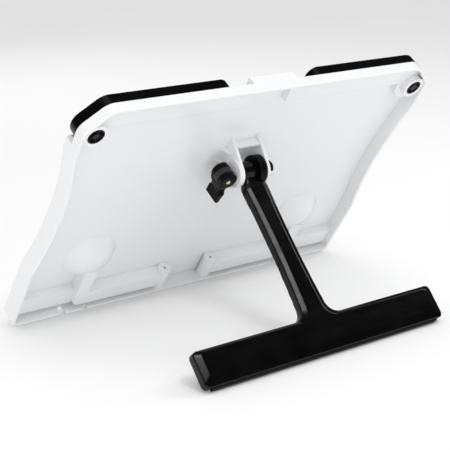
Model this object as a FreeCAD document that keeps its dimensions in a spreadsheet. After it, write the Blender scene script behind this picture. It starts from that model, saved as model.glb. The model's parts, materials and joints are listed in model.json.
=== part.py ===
"""Portable drawing board on a folding T-shaped stand, in millimetres.

Every board piece is drawn in the board frame: X across the width, Y up the board from its
bottom edge, Z towards the drawing side, with the front face at Z = 0. Every stand piece is
drawn in the stand frame: X along the hinge axis, Y down the arm, Z out of its back face.
Each piece is then placed at the board's or the stand's angle, so that the whole object stands
on the plane Z = 0 of the part's own frame, with its footprint centred on the origin.
"""
import FreeCAD, Part
import math
import os
import re

import Sketcher

DRIVING_SIZES = {
    # tray
    "half_width": 213.5, "board_length": 302, "depth": 20.5, "rim_round": 1.1, "panel": 5, "wall": 3.6,
    "waist_radius": 346, "waist_low": 82, "waist_high": 244, "corner_cut": 24, "corner_round": 16.3,
    "top_round": 18, "foot_cut": 5, "foot_round": 3, "lean": 55.5,
    # page arms in the top corners
    "pivot_across": 197.2, "pivot_up": 271.3, "shelf_low": 276, "shelf_deep": 9.3, "shelf_skin": 2.5,
    "tab_half": 25, "pocket_round": 17, "arm_tip": 48, "arm_low": 278.5, "arm_head": 15.88,
    "arm_proud": 3, "arm_skin": 2.5, "arm_gap": 0.4, "hub_bore": 6, "hub_play": 0.08, "seat_deep": 14.6,
    "boss_round": 12.6, "boss_deep": 18.6, "cap_round": 8.3, "cap_thick": 3,
    # troughs and finger scoops
    "trough_low": 11, "trough_high": 29, "trough_end": 145, "leg_inner": 129, "leg_high": 64,
    "trough_deep": 19, "skin": 2, "side_high": 33, "side_deep": 13.5,
    "scoop_across": 136.5, "scoop_up": 75, "scoop_low": 60, "scoop_ball": 41.3, "scoop_tall": 14,
    "post_across": 31, "post_round": 7.6, "post_high": 32, "post_deep": 12.3, "post_hole": 1.6,
    "post_hole_deep": 20,
    # hinge on the back
    "hinge_up": 196, "hinge_deep": 29, "ear_inner": 14.6, "ear_thick": 3.4, "ear_round": 14.5,
    "ear_angle": 27.7, "ear_top": 225, "ear_low": 180, "web_up": 216, "web_thick": 2.4,
    "web_deep": 15, "bolt_round": 3, "bolt_play": 0.06, "cup_round": 14.2, "cup_wall": 2,
    "cup_tall": 2, "nut_cup_round": 9.6, "nut_cup_tall": 11, "nut_across": 13, "nut_cap_round": 6.4,
    # stand
    "stand_low_side": -7, "stand_shoulder": 1.8, "stand_face": 4, "arm_half": 14.4,
    "arm_waist_radius": 1100, "bar_top": 165.8, "bar_bottom": 202, "bar_half": 151.4,
    "bar_round": 5, "arm_flare": 14, "barrel_round": 10, "barrel_end": 11.4,
    "flange_round": 14, "disc_round": 15.2, "disc_thick": 8, "teeth": 36, "tooth_deep": 1.9,
    "foot_thick": 1.6, "foot_inset": 0.5, "foot_wide": 6, "sleeve_round": 4.6,
    # cam lever
    "pin_out": 31, "pin_round": 2.2, "cam_round": 10.2, "cam_shift": 0.8, "lever_half": 9.6,
    "slot_half": 3.4, "lever_length": 30, "eye_round": 9.2, "neck_round": 6,
}

document = FreeCAD.newDocument("DrawingBoard")
sheet = document.addObject("Spreadsheet::Sheet", "Sizes")
for row, (alias, number) in enumerate(DRIVING_SIZES.items(), start=1):
    sheet.set(f"A{row}", alias)
    sheet.set(f"B{row}", str(number))
    sheet.setAlias(f"B{row}", alias)
document.recompute()


# ---------------------------------------------------------------- helpers

def bound(text):
    """The expression with every size name pointing at its cell of the sheet."""
    def cell(match):
        word = match.group()
        return "Sizes." + word if word in DRIVING_SIZES else word
    return re.sub(r"[a-z_]+", cell, str(text))


def size(text):
    """The number that an expression gives."""
    return float(sheet.evalExpression(bound(text)))


def new_body(label):
    body = document.addObject("PartDesign::Body", label)
    body.Label = label
    return body


def new_sketch(body, plane="XY_Plane", offset="0"):
    """An empty sketch on one of the body's own origin planes, moved along its normal."""
    sketch = body.newObject("Sketcher::SketchObject", "Sketch")
    base = [item for item in body.Origin.OriginFeatures if item.Role == plane]
    sketch.AttachmentSupport = [(base[0], "")]
    sketch.MapMode = "FlatFace"
    sketch.setExpression("AttachmentOffset.Base.z", bound(offset))
    return sketch


def pin_down(sketch, item, point, across, along):
    """Hold one point of a sketch item at two sizes from the sketch's origin."""
    for kind, text in (("DistanceX", across), ("DistanceY", along)):
        number = size(text)
        index = sketch.addConstraint(Sketcher.Constraint(kind, -1, 1, item, point, number))
        sketch.setExpression(f"Constraints[{index}]", bound(text))


def draw_outline(sketch, corners, arcs=None):
    """A closed outline. arcs maps the side after corner n to (radius, turn), turn +1 or -1."""
    arcs = arcs or {}
    places = [FreeCAD.Vector(size(across), size(along), 0) for across, along in corners]
    ends = []
    for number, start in enumerate(places):
        stop = places[(number + 1) % len(places)]
        if number not in arcs:
            item = sketch.addGeometry(Part.LineSegment(start, stop), False)
            ends.append((item, 1, 2))
            continue
        radius, turn = arcs[number]
        chord = stop - start
        side = FreeCAD.Vector(-chord.y, chord.x, 0).normalize()
        reach = math.sqrt(size(radius) ** 2 - (chord.Length / 2) ** 2)
        centre = (start + stop) * 0.5 + side * reach * turn
        first, last = (start, stop) if turn > 0 else (stop, start)
        circle = Part.Circle(centre, FreeCAD.Vector(0, 0, 1), size(radius))
        angles = [math.atan2(p.y - centre.y, p.x - centre.x) for p in (first, last)]
        if angles[1] < angles[0]:
            angles[1] += 2 * math.pi
        item = sketch.addGeometry(Part.ArcOfCircle(circle, *angles), False)
        index = sketch.addConstraint(Sketcher.Constraint("Radius", item, size(radius)))
        sketch.setExpression(f"Constraints[{index}]", bound(radius))
        ends.append((item, 1, 2) if turn > 0 else (item, 2, 1))
    for number, (item, _, last) in enumerate(ends):
        following, first, _ = ends[(number + 1) % len(ends)]
        sketch.addConstraint(Sketcher.Constraint("Coincident", item, last, following, first))
    for (item, first, _), (across, along) in zip(ends, corners):
        pin_down(sketch, item, first, across, along)


def draw_box(sketch, low_x, high_x, low_y, high_y):
    draw_outline(sketch, [(low_x, low_y), (high_x, low_y), (high_x, high_y), (low_x, high_y)])


def draw_circle(sketch, across, along, radius):
    centre = FreeCAD.Vector(size(across), size(along), 0)
    item = sketch.addGeometry(Part.Circle(centre, FreeCAD.Vector(0, 0, 1), size(radius)), False)
    index = sketch.addConstraint(Sketcher.Constraint("Radius", item, size(radius)))
    sketch.setExpression(f"Constraints[{index}]", bound(radius))
    pin_down(sketch, item, 3, across, along)


def extrude(body, sketch, length, cut=False, downwards=False, both_ways=False):
    """Pad or pocket a sketch. A pad goes along the sketch's normal unless it is downwards."""
    kind = "PartDesign::Pocket" if cut else "PartDesign::Pad"
    feature = body.newObject(kind, "Cut" if cut else "Add")
    feature.Profile = sketch
    feature.Reversed = downwards != cut
    feature.Midplane = both_ways
    feature.setExpression("Length", bound(length))
    sketch.Visibility = False
    body.Tip = feature
    return feature


def add_box(body, low, high, cut=False):
    """Add or cut a block between two corners, given as expressions in the body's axes."""
    sketch = new_sketch(body, "XY_Plane", low[2])
    draw_box(sketch, low[0], high[0], low[1], high[1])
    return extrude(body, sketch, f"({high[2]}) - ({low[2]})", cut)


def add_disc(body, plane, offset, centre, radius, length, cut=False, downwards=False):
    sketch = new_sketch(body, plane, offset)
    draw_circle(sketch, centre[0], centre[1], radius)
    return extrude(body, sketch, length, cut, downwards)


def round_edges(body, radius, wanted):
    """Fillet every edge of the body so far that the test function wants."""
    document.recompute()
    base = body.Tip
    names = [f"Edge{n}" for n, edge in enumerate(base.Shape.Edges, start=1) if wanted(edge)]
    fillet = body.newObject("PartDesign::Fillet", "Round")
    fillet.Base = (base, names)
    fillet.setExpression("Radius", bound(radius))
    body.Tip = fillet
    document.recompute()


def upright(edge):
    """True for a straight edge along Z."""
    start, stop = edge.Vertexes[0].Point, edge.Vertexes[-1].Point
    return (edge.Curve.TypeId == "Part::GeomLine" and abs(start.x - stop.x) < 1e-6
            and abs(start.y - stop.y) < 1e-6)


def upright_at(across, up):
    """A test for the upright edges at one corner of an outline, on either side."""
    spot = size(across), size(up)

    def wanted(edge):
        point = edge.Vertexes[0].Point
        return upright(edge) and abs(abs(point.x) - spot[0]) < 1 and abs(point.y - spot[1]) < 1
    return wanted


def mirrored(outline):
    """The same corners on the other side of the middle line, still in turning order."""
    return [(f"-({across})", along) for across, along in reversed(outline)]


def handed(side, outline, arcs=None):
    """An outline and its arcs for the side +1, or both mirrored for the side -1."""
    arcs = arcs or {}
    if side > 0:
        return outline, arcs
    count = len(outline)
    return mirrored(outline), {(count - 2 - number) % count: arc for number, arc in arcs.items()}


# ---------------------------------------------------------------- tray

def tray_outline(inset):
    """Corners and arcs of the tray's outline, moved inwards."""
    half = f"half_width - {inset}"
    top = f"board_length - {inset}"
    corner = f"(corner_cut - 0.586 * {inset})"
    foot = f"(foot_cut - 0.586 * {inset} * 0.5)"
    right = [(f"{half} - {foot}", f"{inset}"), (half, f"{inset} + {foot}"),
             (half, f"waist_low + 0.12 * {inset}"), (half, f"waist_high - 0.12 * {inset}"),
             (half, f"{top} - {corner}"), (f"{half} - {corner}", top)]
    arc = (f"waist_radius + {inset}", -1)
    return right + mirrored(right), {2: arc, 8: arc}


def round_corners(tray, inset, radii):
    """Round the upright corners of the tray's outline; radii maps a corner to its radius."""
    corners = tray_outline(inset)[0]
    for number, radius in radii.items():
        round_edges(tray, f"{radius} - {inset}", upright_at(*corners[number]))


def shelf_outline(side, grow, low):
    """The recess of one page arm: a band along the top edge that ends in the top corner."""
    outline = [(f"tab_half - {grow}", f"{low} - {grow}"), ("pivot_across", f"{low} - {grow}"),
               ("pivot_across", "board_length + 4"), (f"tab_half - {grow} + 3", "board_length + 4")]
    return handed(side, outline)


def build_tray():
    """The white moulded tray: panel, walls, recesses, troughs, posts and hinge ears."""
    tray = new_body("tray_body")
    sketch = new_sketch(tray)
    draw_outline(sketch, *tray_outline("0"))
    extrude(tray, sketch, "depth", downwards=True)
    round_corners(tray, "0", {0: "foot_round", 1: "foot_round", 2: "foot_round",
                              3: "foot_round", 4: "corner_round", 5: "top_round"})
    sketch = new_sketch(tray, offset="-depth")
    draw_outline(sketch, *tray_outline("wall"))
    extrude(tray, sketch, "depth - panel", cut=True, downwards=False)
    round_corners(tray, "wall", {4: "corner_round", 5: "top_round"})
    back = -size("depth")
    round_edges(tray, "rim_round", lambda edge: max(v.Point.z for v in edge.Vertexes) < back + 1e-4)

    floor = "(shelf_deep + shelf_skin)"
    for side in (1, -1):
        sign = "" if side > 0 else "-"
        pivot = (f"{sign}pivot_across", "pivot_up")
        # floors of the page-arm recesses, standing proud of the panel's back
        sketch = new_sketch(tray, offset="-panel + 1")
        band = [("tab_half - shelf_skin", "shelf_low - shelf_skin"),
                ("half_width - wall / 2 - corner_cut", "shelf_low - shelf_skin"),
                ("half_width - wall / 2 - corner_cut", "board_length - wall / 2"),
                ("tab_half - shelf_skin", "board_length - wall / 2")]
        draw_outline(sketch, *handed(side, band))
        extrude(tray, sketch, f"{floor} - panel + 1", downwards=True)
        # floor of the round pocket under the arm's head: a disc trimmed by the corner walls
        sketch = new_sketch(tray, offset="-panel + 1")
        rim = "(pocket_round + shelf_skin)"
        wall_line = "half_width - wall / 2"
        low = f"pivot_up - sqrt({rim} ^ 2 - ({wall_line} - pivot_across) ^ 2)"
        pan = [(wall_line, low), (wall_line, "board_length - corner_cut - wall / 2"),
               ("half_width - wall / 2 - corner_cut", "board_length - wall / 2"),
               (f"pivot_across - {rim}", "board_length - wall"),
               (f"pivot_across - {rim}", "pivot_up")]
        draw_outline(sketch, *handed(side, pan, {4: (rim, 1)}))
        extrude(tray, sketch, f"{floor} - panel + 1", downwards=True)
        add_disc(tray, "XY_Plane", "-panel + 1", pivot, "boss_round", "boss_deep - panel + 1",
                 downwards=True)
        # troughs: an L whose leg ends under the finger scoop, and a shallow one at the side
        sketch = new_sketch(tray, offset="-panel + 1")
        trough = [("post_across", "trough_low"), ("trough_end - 5", "trough_low"),
                  ("trough_end", "trough_low + 5"), ("trough_end", "leg_high"),
                  ("leg_inner", "leg_high"), ("leg_inner", "trough_high"),
                  ("post_across", "trough_high")]
        draw_outline(sketch, *handed(side, trough))
        extrude(tray, sketch, "trough_deep - panel + 1", downwards=True)
        sketch = new_sketch(tray, offset="-panel + 1")
        ledge = [("trough_end - 1", "trough_low"), ("half_width - wall / 2", "trough_low"),
                 ("half_width - wall / 2", "side_high"), ("trough_end - 1", "side_high")]
        draw_outline(sketch, *handed(side, ledge))
        extrude(tray, sketch, "side_deep - panel + 1", downwards=True)
        # round post with a blind hole in its top
        sketch = new_sketch(tray, "XZ_Plane", "-post_high")
        draw_circle(sketch, f"{sign}post_across", "-post_deep", "post_round")
        extrude(tray, sketch, "post_high - wall / 2")
        sketch = new_sketch(tray, "XZ_Plane", "-post_high")
        draw_circle(sketch, f"{sign}post_across", "-post_deep", "post_hole")
        extrude(tray, sketch, "post_hole_deep", cut=True, downwards=False)
        # hinge ear, its gussets and the round rim of the cup on its outer face
        build_ear(tray, side)
    add_box(tray, ("-ear_inner - 1", "web_up", "-web_deep"),
            ("ear_inner + 1", "web_up + web_thick", "-panel + 1"))

    for side in (1, -1):
        sign = "" if side > 0 else "-"
        pivot = (f"{sign}pivot_across", "pivot_up")
        # page-arm recess, cut from the front
        sketch = new_sketch(tray)
        draw_outline(sketch, *shelf_outline(side, "0", "shelf_low"))
        extrude(tray, sketch, "shelf_deep", cut=True, downwards=True)
        sketch = new_sketch(tray)
        corner = [("pivot_across - 12", "pivot_up"), ("half_width + 5", "pivot_up - 17"),
                  ("half_width + 5", "board_length + 4"), ("pivot_across - 12", "board_length + 4")]
        draw_outline(sketch, *handed(side, corner))
        extrude(tray, sketch, "shelf_deep", cut=True, downwards=True)
        add_disc(tray, "XY_Plane", "0", pivot, "pocket_round", "shelf_deep", cut=True,
                 downwards=True)
        add_disc(tray, "XY_Plane", "0", pivot, "hub_bore", "boss_deep + 1", cut=True,
                 downwards=True)
        add_disc(tray, "XY_Plane", "-boss_deep", pivot, "cap_round + 0.5",
                 "boss_deep - seat_deep", cut=True)
        # troughs, cut from the front
        sketch = new_sketch(tray)
        hollow = [("post_across + post_round + skin", "trough_low + skin"),
                  ("trough_end - 6", "trough_low + skin"),
                  ("trough_end - skin", "trough_low + 6"), ("trough_end - skin", "leg_high - 0.5"),
                  ("leg_inner + skin", "leg_high - 0.5"), ("leg_inner + skin", "trough_high - skin"),
                  ("post_across + post_round + skin", "trough_high - skin")]
        draw_outline(sketch, *handed(side, hollow))
        extrude(tray, sketch, "trough_deep - skin", cut=True, downwards=True)
        sketch = new_sketch(tray)
        dish = [("trough_end + skin", "trough_low + skin"),
                ("half_width - wall - skin", "trough_low + skin"),
                ("half_width - wall - skin", "side_high - skin"),
                ("trough_end + skin", "side_high - skin")]
        draw_outline(sketch, *handed(side, dish))
        extrude(tray, sketch, "side_deep - skin", cut=True, downwards=True)
        # two notches in the bottom wall
        for low, high, deep in (("150", "157", "11"), ("124", "130", "4")):
            sketch = new_sketch(tray, "XZ_Plane", "1")
            slot = [(low, "-depth - 1"), (high, "-depth - 1"), (high, f"-depth + {deep}"),
                    (low, f"-depth + {deep}")]
            draw_outline(sketch, *handed(side, slot))
            extrude(tray, sketch, "wall + 2", cut=True, downwards=True)
    document.recompute()
    return tray


def build_ear(tray, side):
    """One ear of the hinge: plate, cup on the outer face, gussets and bolt hole."""
    inner = "ear_inner" if side > 0 else "-ear_inner - ear_thick"
    outer = "ear_inner + ear_thick" if side > 0 else "-ear_inner - ear_thick"
    axis = ("hinge_up", "-hinge_deep")
    sketch = new_sketch(tray, "YZ_Plane", inner)
    draw_outline(sketch, [
        ("ear_top", "-panel + 1"),
        ("hinge_up + ear_round * cos(ear_angle)", "-hinge_deep - ear_round * sin(ear_angle)"),
        ("hinge_up - ear_round + 2", "-hinge_deep"), ("ear_low - 2", "-panel + 1")])
    extrude(tray, sketch, "ear_thick")
    add_disc(tray, "YZ_Plane", inner, axis, "ear_round", "ear_thick")
    for up in ("hinge_up + 15", "hinge_up - 1"):
        sketch = new_sketch(tray, "XZ_Plane", f"-({up})")
        gusset = [("ear_inner + 1", "-panel + 1"), ("ear_inner + ear_thick + 9", "-panel + 1"),
                  ("ear_inner + ear_thick + 9", "-panel - 0.6"),
                  ("ear_inner + ear_thick - 0.5", "-panel - 12"), ("ear_inner + 1", "-panel - 12")]
        draw_outline(sketch, *handed(side, gusset))
        extrude(tray, sketch, "2")
    if side > 0:
        add_disc(tray, "YZ_Plane", outer, axis, "cup_round", "cup_tall")
        add_disc(tray, "YZ_Plane", f"{outer} + cup_tall", axis, "cup_round - cup_wall",
                 "cup_tall", cut=True, downwards=True)
    else:
        add_disc(tray, "YZ_Plane", outer, axis, "nut_cup_round", "nut_cup_tall", downwards=True)
        sketch = new_sketch(tray, "YZ_Plane", f"{outer} - nut_cup_tall")
        draw_hexagon(sketch, axis, "nut_across + 0.3")
        extrude(tray, sketch, "nut_cup_tall - 1", cut=True, downwards=False)
        # the cup is open at the top and towards the back, where the nut is reached
        add_box(tray, (f"{outer} - nut_cup_tall - 1", "hinge_up + 1.5", "-hinge_deep - 12"),
                (f"{outer} - 0.01", "hinge_up + 12", "-hinge_deep + 12"), cut=True)
    start = f"{inner} - 0.5" if side > 0 else f"{outer} - nut_cup_tall"
    add_disc(tray, "YZ_Plane", start, axis, "bolt_round + bolt_play",
             "ear_thick + nut_cup_tall + 1", cut=True)


def draw_hexagon(sketch, centre, across_flats):
    corners = []
    for turn in range(6):
        angle = 60 * turn + 30
        corners.append((f"{centre[0]} + ({across_flats}) / sqrt(3) * cos({angle})",
                        f"{centre[1]} + ({across_flats}) / sqrt(3) * sin({angle})"))
    draw_outline(sketch, corners)


# ---------------------------------------------------------------- Part primitives

def cylinder(name, radius, length, start, direction):
    """A Part::Cylinder whose radius and height follow the sheet."""
    item = document.addObject("Part::Cylinder", name)
    item.setExpression("Radius", bound(radius))
    item.setExpression("Height", bound(length))
    turn = FreeCAD.Rotation(FreeCAD.Vector(0, 0, 1), FreeCAD.Vector(*direction))
    item.Placement = FreeCAD.Placement(FreeCAD.Vector(*[size(text) for text in start]), turn)
    return item


def block(name, low, high):
    """A Part::Box between two corners given as expressions."""
    item = document.addObject("Part::Box", name)
    for side, start, stop in zip(("Length", "Width", "Height"), low, high):
        item.setExpression(side, bound(f"({stop}) - ({start})"))
    item.Placement.Base = FreeCAD.Vector(*[size(text) for text in low])
    return item


def ball(name, radius, centre):
    item = document.addObject("Part::Sphere", name)
    item.setExpression("Radius", bound(radius))
    # poles along X and the seam towards the front, away from the cap that stays
    item.Placement = FreeCAD.Placement(FreeCAD.Vector(*[size(text) for text in centre]),
                                       FreeCAD.Rotation(FreeCAD.Vector(0, 1, 0), -90))
    return item


def fuse(label, *pieces):
    item = document.addObject("Part::MultiFuse", label)
    item.Shapes = list(pieces)
    item.Label = label
    return item


def cut(label, base, *tools):
    item = document.addObject("Part::Cut", label)
    item.Base = base
    item.Tool = tools[0] if len(tools) == 1 else fuse(label + "_tools", *tools)
    item.Label = label
    return item


def common(label, base, tool):
    item = document.addObject("Part::Common", label)
    item.Base = base
    item.Tool = tool
    return item


def tube(label, outer, inner, length, start, direction):
    body = cylinder(label + "_outer", outer, length, start, direction)
    hole = cylinder(label + "_hole", inner, length, start, direction)
    return cut(label, body, hole)


ALONG_X = (1, 0, 0)
TO_FRONT = (0, 0, 1)
TO_BACK = (0, 0, -1)


def build_shell():
    """The tray with its two finger scoops, which are caps of a ball cut flat at the bottom."""
    tray = build_tray()
    bulges, hollows = [], []
    for side in (1, -1):
        across = f"{side} * scoop_across"
        centre = (across, "scoop_up", "scoop_ball - scoop_tall - panel")
        reach = ("scoop_up + scoop_ball", "-panel + 0.5")
        outer = block(f"scoop_room_{side + 1}", (f"{across} - scoop_ball", "scoop_low", "-depth"),
                      (f"{across} + scoop_ball", *reach))
        bulges.append(common(f"scoop_{side + 1}", ball("scoop_ball", "scoop_ball", centre), outer))
        inner = block(f"hollow_room_{side + 1}",
                      (f"{across} - scoop_ball", "scoop_low + skin", "-depth"),
                      (f"{across} + scoop_ball", "scoop_up + scoop_ball", "1"))
        hollow = ball("hollow_ball", "scoop_ball - skin", centre)
        hollows.append(common(f"hollow_{side + 1}", hollow, inner))
    return cut("board_shell", fuse("tray_with_scoops", tray, *bulges), *hollows)


# ---------------------------------------------------------------- page arms

def build_page_arm(label, side):
    """A black arm stored in a top corner: band, round head and the hub that it turns on."""
    arm = new_body(label)
    low, high = "-shelf_deep + arm_gap", "arm_proud"
    top = "(board_length - arm_gap)"
    chamfer_end = (f"pivot_across + arm_head * sqrt(2) + pivot_up - {top}", top)
    tip = "arm_tip + 11.3"
    # the head is round about the pivot and runs on into the chamfered corner
    outline = [(tip, "arm_low"),
               ("pivot_across - sqrt(arm_head ^ 2 - (arm_low - pivot_up) ^ 2)", "arm_low"),
               ("pivot_across", "pivot_up - arm_head"), ("pivot_across + arm_head", "pivot_up"),
               ("pivot_across + arm_head * cos(45)", "pivot_up + arm_head * sin(45)"),
               chamfer_end, (tip, top)]
    head = ("arm_head", 1)
    arcs = {1: head, 2: head, 3: head, 6: ("11.7", 1)}
    sketch = new_sketch(arm, offset=low)
    draw_outline(sketch, *handed(side, outline, arcs))
    extrude(arm, sketch, f"{high} - ({low})")
    round_edges(arm, "top_round - arm_gap", upright_at(*chamfer_end))
    round_edges(arm, "1.6", lambda edge: min(v.Point.z for v in edge.Vertexes)
                > size(high) - 1e-4)
    hollow = [(f"{tip} + 4", "arm_low + 2.4"), ("pivot_across - 14", "arm_low + 2.4"),
              ("pivot_across - 14", f"{top} - 2.4"), (f"{tip} + 4", f"{top} - 2.4")]
    sketch = new_sketch(arm, offset=low)
    draw_outline(sketch, *handed(side, hollow))
    extrude(arm, sketch, f"{high} - ({low}) - arm_skin", cut=True)
    pivot = (f"{side} * pivot_across", "pivot_up")
    add_disc(arm, "XY_Plane", low, pivot, "hub_bore - hub_play", "seat_deep + 0.9 - shelf_deep + arm_gap",
             downwards=True)
    add_disc(arm, "XY_Plane", "-seat_deep - 0.9", pivot, "1.3", "9", cut=True)
    return arm


def build_arm_fixings(name, side):
    """Spring washer, cap and screw that hold one page arm in its boss."""
    across, up = f"{side} * pivot_across", "pivot_up"
    washer = tube(f"{name}_arm_spring_washer", "cap_round - 0.8", "hub_bore + 0.2", "0.75",
                  (across, up, "-seat_deep - 0.08"), TO_BACK)
    start = "-seat_deep - 0.95"
    cap = new_body(f"{name}_arm_cap")
    add_disc(cap, "XY_Plane", start, (across, up), "cap_round", "cap_thick", downwards=True)
    back = f"{start} - cap_thick"
    add_disc(cap, "XY_Plane", back, (across, up), "cap_round - 1.6", "1.5", cut=True)
    add_disc(cap, "XY_Plane", start, (across, up), "4.4", "cap_thick", downwards=True)
    for wide, tall in (("1.1", "cap_round - 0.4"), ("cap_round - 0.4", "1.1")):
        add_box(cap, (f"{across} - {wide}", f"{up} - ({tall})", back),
                (f"{across} + {wide}", f"{up} + {tall}", start))
    add_disc(cap, "XY_Plane", back, (across, up), "3.1", "1.6", cut=True)
    add_disc(cap, "XY_Plane", back, (across, up), "1.6", "cap_thick + 1", cut=True)
    head = cylinder(f"{name}_screw_head", "2.9", "1.5", (across, up, f"{start} - cap_thick + 1.6"),
                    TO_BACK)
    shank = cylinder(f"{name}_screw_shank", "1.2", "9",
                     (across, up, f"{start} - cap_thick + 1.6"), TO_FRONT)
    slots = [block(f"{name}_slot_{n}", (f"{across} - {x}", f"{up} - {y}", f"{back} - 1"),
                   (f"{across} + {x}", f"{up} + {y}", f"{back} + 0.9"))
             for n, (x, y) in enumerate(((1.7, 0.3), (0.3, 1.7)))]
    screw = cut(f"{name}_arm_screw", fuse(f"{name}_screw_body", head, shank), *slots)
    return [washer, cap, screw]


# ---------------------------------------------------------------- clamp of the hinge

def build_clamp():
    """Eye bolt, cross pin, cam lever, washers and nut that squeeze the ears together."""
    up, deep = "hinge_up", "-hinge_deep"
    nut_end = "(-ear_inner - ear_thick - nut_cup_tall + 0.4)"
    shaft = cylinder("bolt_shaft", "bolt_round", f"pin_out - {nut_end} - 0.4",
                     (f"{nut_end} + 0.4", up, deep), ALONG_X)
    eye = cylinder("bolt_eye", "eye_round", "slot_half * 2 - 0.6",
                   ("pin_out", up, f"{deep} - slot_half + 0.3"), TO_FRONT)
    eye_hole = cylinder("eye_hole", "pin_round + 0.05", "20", ("pin_out", up, f"{deep} - 10"),
                        TO_FRONT)
    bolt = cut("eye_bolt", fuse("bolt_body", shaft, eye), eye_hole)
    pin = cylinder("lever_pin", "pin_round", "lever_half * 2 + 1",
                   ("pin_out", up, f"{deep} - lever_half - 0.5"), TO_FRONT)
    washer = tube("cam_washer", "cup_round - cup_wall - 0.5", "bolt_round + 0.1", "2.2",
                  ("ear_inner + ear_thick + 0.02", up, deep), ALONG_X)
    nut_body = new_body("clamp_nut")
    sketch = new_sketch(nut_body, "YZ_Plane", f"{nut_end} + 1.3")
    draw_hexagon(sketch, (up, deep), "nut_across")
    extrude(nut_body, sketch, "nut_cup_tall - 4")
    nut_washer = tube("nut_washer", "6", "bolt_round + 0.1", "1.1",
                      ("-ear_inner - ear_thick - 2.15", up, deep), ALONG_X)
    add_disc(nut_body, "YZ_Plane", nut_end, (up, deep), "nut_cap_round", "1.6")
    round_edges(nut_body, "1", lambda edge: max(v.Point.x for v in edge.Vertexes)
                < size(nut_end) + 1e-4)
    add_disc(nut_body, "YZ_Plane", f"{nut_end} - 0.5", (up, deep), "bolt_round + 0.04",
             "nut_cup_tall", cut=True)
    cone = document.addObject("Part::Cone", "spring_outer")
    cone.setExpression("Radius1", bound("flange_round - 1.5"))
    cone.setExpression("Radius2", bound("flange_round - 4"))
    cone.setExpression("Height", bound("0.9"))
    cone.Placement = FreeCAD.Placement(
        FreeCAD.Vector(size("ear_inner - 1"), size(up), size(deep)),
        FreeCAD.Rotation(FreeCAD.Vector(0, 0, 1), FreeCAD.Vector(*ALONG_X)))
    bore = cylinder("spring_hole", "bolt_round + 0.6", "3", ("ear_inner - 2", up, deep), ALONG_X)
    spring = cut("release_spring_washer", cone, bore)
    return [bolt, pin, washer, nut_body, nut_washer, spring, build_lever()]


def build_lever():
    """The cam lever: two cheeks round the bolt's eye and a flat handle down the board."""
    lever = new_body("clamp_lever")
    axis = ("pin_out - cam_shift", "hinge_up")
    low = "-hinge_deep - lever_half"
    add_disc(lever, "XY_Plane", low, axis, "cam_round - cam_shift", "lever_half * 2")
    sketch = new_sketch(lever, offset=f"{low} + 0.4")
    handle = [("pin_out - 7", "hinge_up - 4"), ("pin_out - 4.5", "hinge_up - 15"),
              ("pin_out - 0.5", "hinge_up - lever_length"),
              ("pin_out + 1.5", "hinge_up - lever_length - 1.2"),
              ("pin_out + 4.5", "hinge_up - lever_length + 1"),
              ("pin_out + 4", "hinge_up - 17"), ("pin_out + 7.4", "hinge_up - 6"),
              ("pin_out + 9", "hinge_up + 3"), ("pin_out", "hinge_up + 3")]
    draw_outline(sketch, handle)
    extrude(lever, sketch, "lever_half * 2 - 0.8")
    # the waist between the head and the handle
    for side in (1, -1):
        add_disc(lever, "YZ_Plane", "pin_out - 15",
                 ("hinge_up - 14", f"-hinge_deep + {side} * (lever_half + neck_round / 2)"),
                 "neck_round", "30", cut=True)
    add_box(lever, ("pin_out - 14", "hinge_up - bolt_round - 0.5", "-hinge_deep - slot_half"),
            ("pin_out + bolt_round + 0.5", "hinge_up + 14", "-hinge_deep + slot_half"), cut=True)
    add_disc(lever, "XY_Plane", "-hinge_deep - slot_half", ("pin_out", "hinge_up"),
             "eye_round + 0.5", "slot_half * 2", cut=True)
    add_disc(lever, "XY_Plane", low, ("pin_out", "hinge_up"), "pin_round + 0.05",
             "lever_half * 2", cut=True)
    return lever


# ---------------------------------------------------------------- stand

def stand_outline(arm, foot, arm_end, flare, top, side, corner, bottom):
    """Corners and arcs of the T shape; arm and foot are its half widths along the arm."""
    corner = f"({corner})"
    neck = f"{arm} - 1.2"
    right = [(neck, "0"), (neck, "15"), (arm, "20"), (foot, arm_end), (f"{foot} + {flare}", top),
             (f"{side} - {corner}", top), (side, f"{top} + {corner}"),
             (side, f"{bottom} - {corner}"), (f"{side} - {corner}", bottom)]
    arcs = {2: ("arm_waist_radius", -1), 3: ("arm_flare", -1), 5: (corner, 1), 7: (corner, 1)}
    last_side = 2 * len(right) - 2
    arcs.update({last_side - number: arc for number, arc in arcs.items()})
    return right + mirrored(right), arcs


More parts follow.
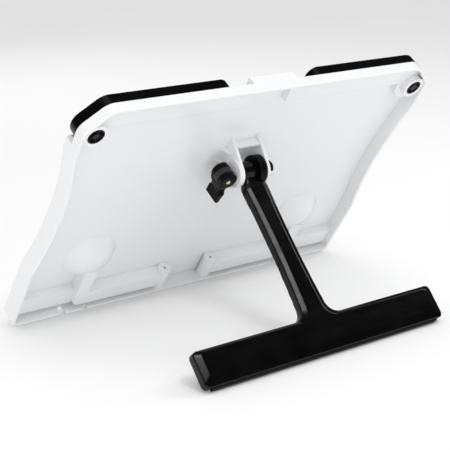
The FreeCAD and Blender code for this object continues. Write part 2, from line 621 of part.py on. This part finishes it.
def build_stand():
    """The black T-shaped leg: bevelled face, hollow underside with ribs, and hinge barrel."""
    stand = new_body("stand_leg")
    base = ("arm_half", "arm_half + 1.2", "bar_top - arm_flare", "arm_flare", "bar_top",
            "bar_half", "bar_round", "bar_bottom")
    sketch = new_sketch(stand, offset="stand_low_side")
    draw_outline(sketch, *stand_outline(*base))
    extrude(stand, sketch, "stand_shoulder - stand_low_side")
    face = ("arm_half - 5.6", "arm_half - 5", "bar_top + 3 - arm_flare", "arm_flare",
            "bar_top + 3", "bar_half - 8", "bar_round - 1", "bar_bottom - 8")
    lower = new_sketch(stand, offset="stand_shoulder")
    draw_outline(lower, *stand_outline(*base))
    upper = new_sketch(stand, offset="stand_face")
    draw_outline(upper, *stand_outline(*face))
    bevel = stand.newObject("PartDesign::AdditiveLoft", "Bevel")
    bevel.Profile = lower
    bevel.Sections = [upper]
    bevel.Ruled = True
    stand.Tip = bevel
    hollow = ("arm_half - 2.6", "arm_half - 1.4", "bar_top + 2.6 - arm_flare", "arm_flare",
              "bar_top + 2.6", "bar_half - 2.6", "bar_round - 1.2", "bar_bottom - 2.6")
    outline, arcs = stand_outline(*hollow)
    for number, down in enumerate(("22", "24", "26")):
        outline[number] = (hollow[0], down)
        outline[-1 - number] = (f"-({hollow[0]})", down)
    sketch = new_sketch(stand, offset="stand_low_side")
    draw_outline(sketch, outline, arcs)
    extrude(stand, sketch, "stand_shoulder - stand_low_side - 1", cut=True)
    roof = "stand_shoulder - 0.5"
    for number in range(4):
        down = f"50 + {number} * 30"
        add_box(stand, ("-arm_half + 2.8", down, "stand_low_side + 1"),
                ("arm_half - 2.8", f"{down} + 2", roof))
    add_box(stand, ("-bar_half + 1.5", "(bar_top + bar_bottom) / 2 - 1", "stand_low_side + 1"),
            ("bar_half - 1.5", "(bar_top + bar_bottom) / 2 + 1", roof))
    for number in range(-4, 5):
        across = f"{number} * 32"
        add_box(stand, (f"{across} - 1", "bar_top + 1.5", "stand_low_side + 1"),
                (f"{across} + 1", "bar_bottom - 1.5", roof))
    # room for the locking disc beside the barrel, and for the ears' roundings
    centre = ("0", "0")
    disc_end = "(-ear_inner + disc_thick + 1.5)"
    for start, length in (("-arm_half - 2", f"arm_half + 2 + {disc_end}"), ("barrel_end - 0.2", "5")):
        add_disc(stand, "YZ_Plane", start, centre, "disc_round + 0.6", length, cut=True)
    add_box(stand, ("-arm_half - 3", "-10", "-12"), ("arm_half + 3", "0", "12"), cut=True)
    add_disc(stand, "YZ_Plane", disc_end, centre, "barrel_round", f"barrel_end - {disc_end}")
    add_disc(stand, "YZ_Plane", "barrel_end - 0.3", centre, "flange_round",
             "ear_inner - barrel_end - 1")
    add_disc(stand, "YZ_Plane", "-ear_inner", centre, "sleeve_round", "ear_inner * 2", cut=True)
    return stand


def build_sleeve():
    """Spacer sleeve in the stand's barrel; it turns on the bolt."""
    start, stop = "-ear_inner + disc_thick + 1.5", "barrel_end + 1.8"
    return tube("pivot_sleeve", "sleeve_round", "bolt_round + bolt_play", f"{stop} - ({start})",
                (start, "0", "0"), ALONG_X)


def build_locking_disc():
    """The toothed disc beside the barrel; its radial teeth face the ear."""
    disc = new_body("locking_disc")
    add_disc(disc, "YZ_Plane", "-ear_inner + 0.1 + tooth_deep", ("0", "0"), "disc_round",
             "disc_thick + 1.2 - tooth_deep")
    sketch = new_sketch(disc, "YZ_Plane", "-ear_inner + 0.3")
    half = "disc_round * pi / teeth / 2"
    tooth = [("bolt_round + 4", f"-({half}) * 0.5"), ("disc_round", f"-({half})"),
             ("disc_round", half), ("bolt_round + 4", f"({half}) * 0.5")]
    draw_outline(sketch, tooth)
    feature = extrude(disc, sketch, "tooth_deep")
    pattern = disc.newObject("PartDesign::PolarPattern", "Teeth")
    pattern.Originals = [feature]
    pattern.Axis = ([item for item in disc.Origin.OriginFeatures if item.Role == "X_Axis"][0], [""])
    pattern.Angle = 360
    pattern.setExpression("Occurrences", bound("teeth"))
    disc.Tip = pattern
    add_disc(disc, "YZ_Plane", "-ear_inner", ("0", "0"), "bolt_round + bolt_play",
             "disc_thick + 4", cut=True)
    return disc


def build_foot():
    """Rubber strip under the stand's bar."""
    return block("stand_foot_strip",
                 ("-bar_half + 8", "bar_bottom", "stand_low_side + foot_inset"),
                 ("bar_half - 8", "bar_bottom + foot_thick", "stand_low_side + foot_wide"))


# ---------------------------------------------------------------- assembly

def check(pieces):
    """Stop if any object of the document failed or any piece isn't a valid solid."""
    for item in document.Objects:
        if "Invalid" in item.State or "Error" in item.State:
            raise RuntimeError(f"{item.Name} of {item.Label}: {item.State}")
    for piece in pieces:
        shape = piece.Shape
        if shape.isNull() or not shape.isValid() or not shape.Solids:
            raise RuntimeError(f"{piece.Label} has no valid solid")


board_pieces = [build_shell(), build_page_arm("left_page_arm", 1),
                build_page_arm("right_page_arm", -1)]
board_pieces += build_arm_fixings("left", 1) + build_arm_fixings("right", -1) + build_clamp()
stand_pieces = [build_stand(), build_sleeve(), build_locking_disc(), build_foot()]
document.recompute()
check(board_pieces + stand_pieces)

lean = size("lean")
board_turn = FreeCAD.Rotation(FreeCAD.Vector(1, 0, 0), lean)
lift = size("depth") * math.cos(math.radians(lean))
hinge = board_turn.multVec(FreeCAD.Vector(0, size("hinge_up"), -size("hinge_deep")))
hinge.z += lift
foot_down = size("bar_bottom + foot_thick")
foot_back = -size("stand_low_side + foot_inset")
foot_reach = math.hypot(foot_down, foot_back)
stand_slope = math.degrees(math.asin(hinge.z / foot_reach) - math.atan2(foot_back, foot_down))
stand_turn = FreeCAD.Rotation(FreeCAD.Vector(1, 0, 0), -stand_slope)
bar_edge = FreeCAD.Vector(0, size("bar_bottom"), size("stand_shoulder"))
back = hinge.y + stand_turn.multVec(bar_edge).y
middle = back / 2
board_place = FreeCAD.Placement(FreeCAD.Vector(0, -middle, lift), board_turn)
stand_place = FreeCAD.Placement(hinge - FreeCAD.Vector(0, middle, 0), stand_turn)
for pieces, place in ((board_pieces, board_place), (stand_pieces, stand_place)):
    for piece in pieces:
        piece.Placement = place.multiply(piece.Placement)
document.recompute()
check(board_pieces + stand_pieces)

print(f"stand slope {stand_slope:.3f}, hinge at {stand_place.Base}")
os.makedirs("parts", exist_ok=True)
whole = FreeCAD.BoundBox()
for piece in board_pieces + stand_pieces:
    whole.add(piece.Shape.BoundBox)
    piece.Shape.exportStep(f"parts/{piece.Label}.step")
    print(f"{piece.Label}: {len(piece.Shape.Solids)} solid, {piece.Shape.Volume / 1000:.2f} cm3")
print("whole", whole)
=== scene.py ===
"""Looks of a portable drawing board: white moulded tray, black page arms, cam clamp and T stand.

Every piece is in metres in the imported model's frame: +X along the board's width towards the cam
lever, -Y the way the drawing face looks, +Z up, floor at z = 0. The leg, the lever and the page
arms are remade from their CAD nodes with the melted edges of a moulding; the other nodes keep
their meshes and get a finish.
"""
import json
import math

import bpy
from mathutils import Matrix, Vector


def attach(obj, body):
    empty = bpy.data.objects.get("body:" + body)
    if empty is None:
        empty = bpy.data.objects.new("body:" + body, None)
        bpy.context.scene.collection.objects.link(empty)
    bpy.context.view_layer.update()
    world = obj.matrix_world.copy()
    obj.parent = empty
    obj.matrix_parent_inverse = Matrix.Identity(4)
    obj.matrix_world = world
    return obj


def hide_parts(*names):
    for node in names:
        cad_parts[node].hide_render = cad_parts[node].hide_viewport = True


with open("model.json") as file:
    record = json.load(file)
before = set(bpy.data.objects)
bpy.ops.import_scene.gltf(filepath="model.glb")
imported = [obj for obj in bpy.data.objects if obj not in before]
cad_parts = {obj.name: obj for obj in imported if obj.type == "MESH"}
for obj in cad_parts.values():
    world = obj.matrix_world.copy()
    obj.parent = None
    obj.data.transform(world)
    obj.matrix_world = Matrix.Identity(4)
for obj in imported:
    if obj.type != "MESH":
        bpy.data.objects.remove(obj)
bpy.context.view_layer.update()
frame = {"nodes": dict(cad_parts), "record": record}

MM = 0.001

# pieces remade with melted edges: node -> (body, size of the even faces, rounds of smoothing)
MOULDED_NODES = {
    "stand_leg": ("stand", 0.8 * MM, 3),
    "clamp_lever": ("lever", 0.35 * MM, 4),
    "left_page_arm": ("left_page_arm", 0.6 * MM, 2),
    "right_page_arm": ("right_page_arm", 0.6 * MM, 2),
}

MIDDLE = (0, 0, 0.12)                # about the middle of the object
ARM_MIDDLE = (0, 0.1, 0.08)          # middle of the leg's arm
HINGE_SIDE = (0, 0.07, 0.1)          # upper part of the leg
# softboxes: name -> (place, what it faces, (width, height), watts)
SOFTBOXES = {
    "overhead": ((0.15, 0.1, 1.8), MIDDLE, (1.0, 0.8), 1.6),
    # mirrored by the left bevels of the arm and of the bar
    "above_left_of_camera": ((0.08, 0.88, 1.36), ARM_MIDDLE, (0.42, 0.36), 4),
    "left_of_camera": ((1.6, 0.2, 0.7), MIDDLE, (0.3, 1.0), 2),
    # draws a thin line along the arm's right crease
    "right_of_camera": ((-1.3, 0.34, 1.0), HINGE_SIDE, (0.2, 0.6), 3),
    "low_fill": ((0.7, 1.8, 0.3), MIDDLE, (1.6, 0.4), 4.5),
    "drawing_side": ((-0.4, -1.6, 0.9), MIDDLE, (1.0, 0.6), 2.5),
}
SURROUNDINGS = 0.81                  # strength of the white surroundings on matt surfaces
SURROUNDINGS_IN_GLOSS = 0.05         # and as glossy surfaces mirror them

CAMERA_AZIMUTH = math.radians(142.9)
CAMERA_ELEVATION = math.radians(16.77)
CAMERA_DISTANCE = 1.320
CAMERA_TARGET = Vector((-0.0098, -0.0515, 0.0855))
CAMERA_LENS = 99.3                   # millimetres on a sensor SENSOR_WIDTH wide
SENSOR_WIDTH = 36
FLOOR_HALF = 6.0


# ---------------------------------------------------------------- materials

class Shader:
    """A node material with one principled shader, built up by small steps."""

    def __init__(self, name, color, roughness, **sockets):
        self.material = bpy.data.materials.new(name)
        self.material.use_nodes = True
        self.tree = self.material.node_tree
        self.main = self.tree.nodes["Principled BSDF"]
        self.main.inputs["Base Color"].default_value = (*color, 1)
        self.main.inputs["Roughness"].default_value = roughness
        for socket, value in sockets.items():
            self.main.inputs[socket.replace("_", " ")].default_value = value
        self.place = self.add("ShaderNodeTexCoord").outputs["Object"]
        self.normal = None

    def add(self, kind, **inputs):
        node = self.tree.nodes.new(kind)
        for name, value in inputs.items():
            node.inputs[name.replace("_", " ")].default_value = value
        return node

    def link(self, start, end):
        self.tree.links.new(start, end)

    def noise(self, scale, detail=3.0, stretch=(1, 1, 1)):
        """Noise between 0 and 1 in the object's space; scale is in waves per metre."""
        mapping = self.add("ShaderNodeMapping", Scale=stretch)
        self.link(self.place, mapping.inputs["Vector"])
        noise = self.add("ShaderNodeTexNoise", Scale=scale, Detail=detail)
        self.link(mapping.outputs["Vector"], noise.inputs["Vector"])
        return noise.outputs["Fac"]

    def spread(self, value, low, high, start=0.3, stop=0.7):
        """Maps a value from start..stop onto low..high."""
        ramp = self.add("ShaderNodeMapRange")
        for socket, number in (("From Min", start), ("From Max", stop), ("To Min", low), ("To Max", high)):
            ramp.inputs[socket].default_value = number
        self.link(value, ramp.inputs["Value"])
        return ramp.outputs["Result"]

    def soft_edges(self, radius):
        bevel = self.add("ShaderNodeBevel", Radius=radius)
        bevel.samples = 6
        self.normal = bevel.outputs["Normal"]

    def bump(self, height, distance, strength=1.0):
        bump = self.add("ShaderNodeBump", Distance=distance, Strength=strength)
        self.link(height, bump.inputs["Height"])
        if self.normal is not None:
            self.link(self.normal, bump.inputs["Normal"])
        self.normal = bump.outputs["Normal"]

    def vary_color(self, factor, first, second):
        mix = self.add("ShaderNodeMix")
        mix.data_type = "RGBA"
        color_a, color_b, result = mix.inputs[6], mix.inputs[7], mix.outputs[2]
        color_a.default_value = (*first, 1)
        color_b.default_value = (*second, 1)
        self.link(factor, mix.inputs["Factor"])
        self.link(result, self.main.inputs["Base Color"])

    def vary_roughness(self, value):
        self.link(value, self.main.inputs["Roughness"])

    def done(self):
        if self.normal is not None:
            self.link(self.normal, self.main.inputs["Normal"])
        return self.material


def white_moulding():
    """Glossy white moulding: faint flow marks and a sheen that varies over the panel."""
    shader = Shader("white_moulding", (0.86, 0.865, 0.875), 0.22, Specular_IOR_Level=0.5)
    shader.soft_edges(0.6 * MM)
    flow = shader.noise(9, 4, (1, 0.5, 0.5))
    shader.vary_color(shader.spread(flow, 0, 1, 0, 1), (0.835, 0.84, 0.855), (0.87, 0.873, 0.88))
    shader.vary_roughness(shader.spread(shader.noise(8, 1), 0.17, 0.28, 0, 1))
    return shader.done()


def black_moulding(name, rough_low, rough_high, grain, level):
    """Black moulding: near-black colour with a slight mottle, uneven gloss and a fine grain."""
    shader = Shader(name, (0.002, 0.002, 0.0022), rough_low, Specular_IOR_Level=level)
    shader.soft_edges(0.5 * MM)
    shader.bump(shader.noise(900, 1), grain, 0.3)
    shader.vary_roughness(shader.spread(shader.noise(60, 3, (0.3, 1, 2)), rough_low, rough_high))
    shader.vary_color(shader.spread(shader.noise(40, 4), 0, 1), (0.001, 0.001, 0.0012),
                      (0.003, 0.003, 0.0033))
    return shader.done()


def rubber():
    shader = Shader("ribbed_rubber", (0.012, 0.012, 0.013), 0.75, Specular_IOR_Level=0.2)
    shader.bump(shader.noise(1100, 3), 0.03 * MM, 0.6)
    shader.vary_color(shader.noise(130, 4), (0.008, 0.008, 0.009), (0.018, 0.018, 0.018))
    return shader.done()


def turned_metal(name, low, high, roughness, metallic=1.0):
    """Metal with fine turning marks and a mottled surface."""
    shader = Shader(name, low, roughness, Metallic=metallic)
    shader.soft_edges(0.2 * MM)
    shader.bump(shader.noise(900, 2, (6, 0.6, 0.6)), 0.01 * MM, 0.4)
    shader.vary_color(shader.spread(shader.noise(240, 4), 0, 1), low, high)
    shader.vary_roughness(shader.spread(shader.noise(700, 3), roughness - 0.08, roughness + 0.12))
    return shader.done()


FINISHES = {
    "white_shell": white_moulding(),
    "black_plastic": black_moulding("black_gloss_moulding", 0.14, 0.24, 0.002 * MM, 0.24),
    "black_hardware": black_moulding("black_satin_moulding", 0.3, 0.42, 0.004 * MM, 0.09),
    "rubber": rubber(),
    "steel": turned_metal("zinc_plate", (0.55, 0.56, 0.58), (0.70, 0.69, 0.66), 0.3),
    "black_steel": turned_metal("black_oxide", (0.006, 0.006, 0.007), (0.012, 0.012, 0.012), 0.4, 0.0),
    "brass": turned_metal("turned_brass", (0.80, 0.64, 0.38), (0.90, 0.76, 0.52), 0.26),
}
for part in frame["record"]["subparts"]:
    node = frame["nodes"][part["node"]]
    node.data.materials.clear()
    node.data.materials.append(FINISHES[part["material_slot"]])


# ---------------------------------------------------------------- moulded pieces

def moulded(node, body, voxel, passes):
    """A piece with the shape of a CAD node whose edges are all melted round, as a mould leaves them."""
    source = frame["nodes"][node]
    work = source.copy()
    work.data = source.data.copy()
    bpy.context.collection.objects.link(work)
    remesh = work.modifiers.new("even_faces", "REMESH")
    remesh.mode = "VOXEL"
    remesh.voxel_size = voxel
    remesh.use_smooth_shade = True
    smooth = work.modifiers.new("round_edges", "SMOOTH")
    smooth.factor = 0.5
    smooth.iterations = passes
    graph = bpy.context.evaluated_depsgraph_get()
    mesh = bpy.data.meshes.new_from_object(work.evaluated_get(graph))
    bpy.data.objects.remove(work)
    piece = bpy.data.objects.new(node + "_moulded", mesh)
    bpy.context.collection.objects.link(piece)
    slot = next(part["material_slot"] for part in frame["record"]["subparts"] if part["node"] == node)
    mesh.materials.clear()
    mesh.materials.append(FINISHES[slot])
    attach(piece, body)
    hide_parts(node)
    return piece


for node_name, (body_name, face_size, rounds) in MOULDED_NODES.items():
    moulded(node_name, body_name, face_size, rounds)


# ---------------------------------------------------------------- floor, light and camera

def floor():
    """A pale floor with a faint unevenness, large enough for every view."""
    mesh = bpy.data.meshes.new("floor")
    corners = [(FLOOR_HALF * x, FLOOR_HALF * y, 0) for x, y in ((-1, -1), (1, -1), (1, 1), (-1, 1))]
    mesh.from_pydata(corners, [], [(0, 1, 2, 3)])
    item = bpy.data.objects.new("floor", mesh)
    bpy.context.collection.objects.link(item)
    shader = Shader("pale_floor", (0.93, 0.93, 0.93), 0.9, Specular_IOR_Level=0.1)
    shader.vary_color(shader.noise(3, 2), (0.92, 0.92, 0.92), (0.95, 0.95, 0.95))
    mesh.materials.append(shader.done())


def softbox(name, place, target, size, power):
    light = bpy.data.lights.new(name, "AREA")
    light.shape = "RECTANGLE"
    light.size, light.size_y = size
    light.energy = power
    item = bpy.data.objects.new(name, light)
    item.location = place
    item.rotation_euler = (Vector(target) - Vector(place)).to_track_quat("-Z", "Y").to_euler()
    bpy.context.collection.objects.link(item)


def studio():
    """White surroundings, dimmer in reflections, and the softboxes."""
    world = bpy.data.worlds.new("studio")
    world.use_nodes = True
    nodes, links = world.node_tree.nodes, world.node_tree.links
    nodes["Background"].inputs["Color"].default_value = (1, 1, 1, 1)
    ray = nodes.new("ShaderNodeLightPath")
    strength = nodes.new("ShaderNodeMapRange")
    strength.inputs["To Min"].default_value = SURROUNDINGS
    strength.inputs["To Max"].default_value = SURROUNDINGS_IN_GLOSS
    links.new(ray.outputs["Is Glossy Ray"], strength.inputs["Value"])
    links.new(strength.outputs["Result"], nodes["Background"].inputs["Strength"])
    bpy.context.scene.world = world
    for name, (place, target, size, power) in SOFTBOXES.items():
        softbox(name, place, target, size, power)


def camera():
    """The main view: from behind, a little above, with a short telephoto."""
    toward = Vector((math.sin(CAMERA_AZIMUTH) * math.cos(CAMERA_ELEVATION),
                     -math.cos(CAMERA_AZIMUTH) * math.cos(CAMERA_ELEVATION),
                     math.sin(CAMERA_ELEVATION)))
    data = bpy.data.cameras.new("camera")
    data.lens = CAMERA_LENS
    data.sensor_width = SENSOR_WIDTH
    item = bpy.data.objects.new("camera", data)
    item.location = CAMERA_TARGET + toward * CAMERA_DISTANCE
    item.rotation_euler = (-toward).to_track_quat("-Z", "Y").to_euler()
    bpy.context.collection.objects.link(item)
    bpy.context.scene.camera = item


floor()
studio()
camera()
bpy.context.scene.view_settings.view_transform = "Standard"
